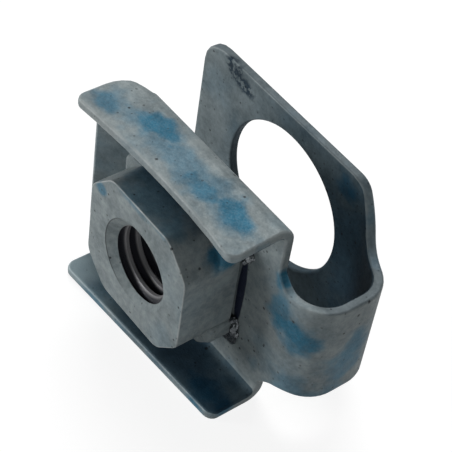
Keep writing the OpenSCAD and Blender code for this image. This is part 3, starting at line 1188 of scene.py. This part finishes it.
# %% [markdown]
# ## The weld metal's finish
# Squeezed-out weld metal is bare steel with a skin of soot, brighter and more metallic than the zinc. The
# group of clouds is used again with smaller patches, to go from soot to bright metal.

# %% Burnt weld metal
SOOT = (0.03, 0.035, 0.045, 1)
BARE_METAL = (0.22, 0.24, 0.25, 1)
weld_coat = new_material("burnt_weld")
tree = weld_coat.node_tree
grain = use_group(tree, clouds_group, Cloud_Scale=900.0, Grain_Scale=4000.0)
colour = tint(tree, grain["Clouds"], SOOT, BARE_METAL)
rough = calc(tree, "ADD", times(tree, grain["Grain"], 0.2), 0.2)
finish_material(welds, weld_coat, colour, rough, grain["Grain"], metallic=0.7)
print("weld metal:", len(tree.nodes), "nodes")

# %% [markdown]
# ## Camera
# The camera looks from the front right and from above, as in the photograph, with a long lens and a slight
# roll.

# %% Camera
CAMERA_AT = (83.2, -71.3, 119.2)
LENS_MM = 119.96
SENSOR_MM = 36
AZIMUTH, ELEVATION, ROLL = (math.radians(angle) for angle in (46.13, 46.08, 9.50))
forward = Vector((-math.sin(AZIMUTH) * math.cos(ELEVATION), math.cos(AZIMUTH) * math.cos(ELEVATION),
                  -math.sin(ELEVATION)))
level = forward.cross(Vector((0, 0, 1))).normalized()
upright = level.cross(forward)
right = math.cos(ROLL) * level + math.sin(ROLL) * upright
up = math.cos(ROLL) * upright - math.sin(ROLL) * level
lens = bpy.data.cameras.new("camera")
lens.lens = LENS_MM
lens.sensor_width = SENSOR_MM
lens.clip_start = 0.01
camera = bpy.data.objects.new("camera", lens)
bpy.context.scene.collection.objects.link(camera)
turn = Matrix((right, up, -forward)).transposed().to_4x4()
camera.matrix_world = Matrix.Translation(Vector(CAMERA_AT) * MM) @ turn
bpy.context.scene.camera = camera
print("camera at", CAMERA_AT, "mm, lens", lens.lens)

# %% [markdown]
# ## Floor and light
# The object stands on a white sheet. What the camera and reflections see of the sheet is mostly its own
# white, so that the background stays white at a plain light level, and the rest is lit, so that the shadow
# shows. A large soft light hangs above and to the left, one stands low in front on the left, and a weak one
# on the right keeps the sides from going black.

# %% Floor
FLOOR_GREY = 0.35
FLOOR_GLOW = 0.86
FLOOR_LIT = 0.26
FLOOR_Z = cad_lo.z - 0.02 * MM
clear_selection()
bpy.ops.mesh.primitive_plane_add(size=2, location=(0, 0, FLOOR_Z))
floor = bpy.context.object
floor.name = "floor"
bpy.ops.object.transform_apply(location=True, rotation=True, scale=True)
paper = new_material("white_paper")
tree = paper.node_tree
shader = tree.nodes["Principled BSDF"]
shader.inputs["Base Color"].default_value = (FLOOR_GREY, FLOOR_GREY, FLOOR_GREY, 1)
shader.inputs["Roughness"].default_value = 0.9
shader.inputs["Specular IOR Level"].default_value = 0.0
lit = tree.nodes.new("ShaderNodeBsdfDiffuse")
lit.inputs["Color"].default_value = (FLOOR_LIT, FLOOR_LIT, FLOOR_LIT, 1)
glow = tree.nodes.new("ShaderNodeEmission")
glow.inputs["Strength"].default_value = FLOOR_GLOW
both = new_node(tree, "ShaderNodeAddShader", lit.outputs[0], glow.outputs[0])
path = tree.nodes.new("ShaderNodeLightPath")
seen = calc(tree, "MAXIMUM", path.outputs["Is Camera Ray"],
            calc(tree, "MAXIMUM", path.outputs["Is Glossy Ray"], path.outputs["Is Transmission Ray"]))
choose = new_node(tree, "ShaderNodeMixShader", seen, shader.outputs[0], both.outputs[0])
feed(tree, tree.nodes["Material Output"].inputs["Surface"], choose.outputs[0])
floor.data.materials.append(paper)
print("floor at z", round(FLOOR_Z / MM, 2), "mm")

# %% Lamps and world


def softbox(name, place_mm, size_mm, watts):
    """A square soft light that faces the object."""
    light = bpy.data.lights.new(name, "AREA")
    light.size = size_mm * MM
    light.energy = watts
    lamp = bpy.data.objects.new(name, light)
    bpy.context.scene.collection.objects.link(lamp)
    lamp.location = Vector(place_mm) * MM
    lamp.rotation_euler = (-lamp.location).to_track_quat("-Z", "Y").to_euler()
    print(name, watts, "W")


softbox("top_light", (-190, 180, 410), 260, 1.6)
softbox("front_light", (-300, -375, 85), 170, 1.15)
softbox("right_light", (350, -250, 200), 200, 0.3)

WORLD_LEVEL = 0.05
world = bpy.data.worlds.new("studio")
world.use_nodes = True
world.node_tree.nodes["Background"].inputs["Color"].default_value = (1, 1, 1, 1)
world.node_tree.nodes["Background"].inputs["Strength"].default_value = WORLD_LEVEL
bpy.context.scene.world = world
bpy.context.scene.view_settings.view_transform = "Standard"
